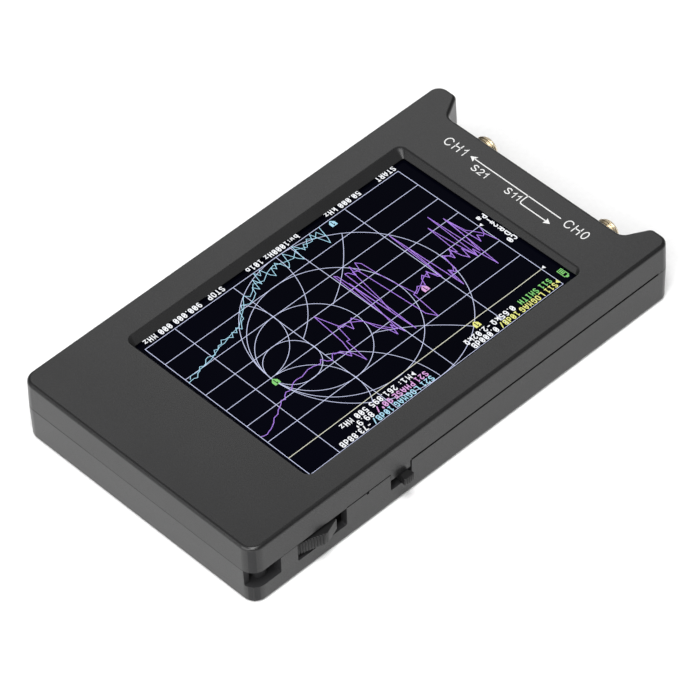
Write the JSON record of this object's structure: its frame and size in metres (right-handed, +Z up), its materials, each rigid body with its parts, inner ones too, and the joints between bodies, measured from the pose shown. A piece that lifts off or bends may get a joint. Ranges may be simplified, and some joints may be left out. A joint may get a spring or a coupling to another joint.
{
  "type": "vector network analyzer",
  "caption": "Handheld touch-screen vector network analyzer in a flat two-part case, with coaxial ports recessed between horns, a power slider and a jog lever on one side.",
  "frame": {"origin": "bottom centre of the box round the whole object, slider and lever included, lying on its back", "axes": "+Z up out of the screen, +Y along the case towards the coaxial ports, +X towards the side with the power slider and the jog lever"},
  "size_m": [0.0764, 0.1308, 0.0177],
  "materials": {
    "case": "fine matte spark texture, dark grey",
    "slider": "moulded, ribbed",
    "touch_glass": "gloss, black when dark",
    "lcd_glass": "dark glass",
    "backlight": "white moulded tray",
    "foam": "black foam",
    "gold": "gold plated",
    "ptfe": "white fluoropolymer",
    "board": "solder mask",
    "chip": "moulded epoxy",
    "tinned": "tinned sheet",
    "screw_steel": "black zinc",
    "flex": "polyimide",
    "pouch": "laminated foil",
    "wire_red": "insulated wire",
    "wire_black": "insulated wire",
    "nylon": "natural nylon",
    "switch": "moulded"
  },
  "bodies": {
    "chassis": {"front_shell": "case", "rear_shell": "case", "display_gasket": "foam", "touch_panel": "touch_glass", "lcd_panel": "lcd_glass", "lcd_backlight_frame": "backlight", "lcd_ribbon": "flex", "touch_ribbon": "flex", "main_pcb": "board", "fpc_connector": "nylon", "touch_fpc_connector": "nylon", "mcu_chip": "chip", "flash_chip": "chip", "clock_chip": "chip", "reference_oscillator": "tinned", "codec_chip": "chip", "mixer_chip_1": "chip", "mixer_chip_2": "chip", "mixer_chip_3": "chip", "charger_chip": "chip", "power_inductor": "chip", "rf_shield_frame": "tinned", "rf_shield_lid": "tinned", "sma_body_ch0": "gold", "sma_body_ch1": "gold", "sma_insulator_ch0": "ptfe", "sma_insulator_ch1": "ptfe", "sma_contact_ch0": "gold", "sma_contact_ch1": "gold", "usb_c_shell": "tinned", "usb_c_tongue": "chip", "power_switch_body": "switch", "jog_switch_body": "switch", "battery_pouch": "pouch", "battery_tape": "foam", "battery_lead_red": "wire_red", "battery_lead_black": "wire_black", "battery_plug": "nylon", "battery_socket": "nylon", "case_screw_1": "screw_steel", "pcb_screw_1": "screw_steel", "case_screw_2": "screw_steel", "pcb_screw_2": "screw_steel", "case_screw_3": "screw_steel", "pcb_screw_3": "screw_steel", "case_screw_4": "screw_steel", "pcb_screw_4": "screw_steel"},
    "power_slider": {"power_switch_knob": "slider"},
    "jog_press": {"jog_carrier": "switch"},
    "jog_tilt": {"jog_lever": "slider"}
  },
  "joints": [
    {"name": "power_slide", "type": "slide", "parent": "chassis", "child": "power_slider", "axis": [0, 1, 0], "range_m": [0, 0.003]},
    {"name": "jog_press", "type": "slide", "parent": "chassis", "child": "jog_press", "axis": [-1, 0, 0], "range_m": [0, 0.0005], "stiffness_N_per_m": 1500},
    {"name": "jog_tilt", "type": "hinge", "parent": "jog_press", "child": "jog_tilt", "pos_m": [0.0304, -0.0198, 0.0065], "axis": [0, 0, 1], "range_deg": [-6, 6], "stiffness_Nm_per_rad": 0.05}
  ]
}
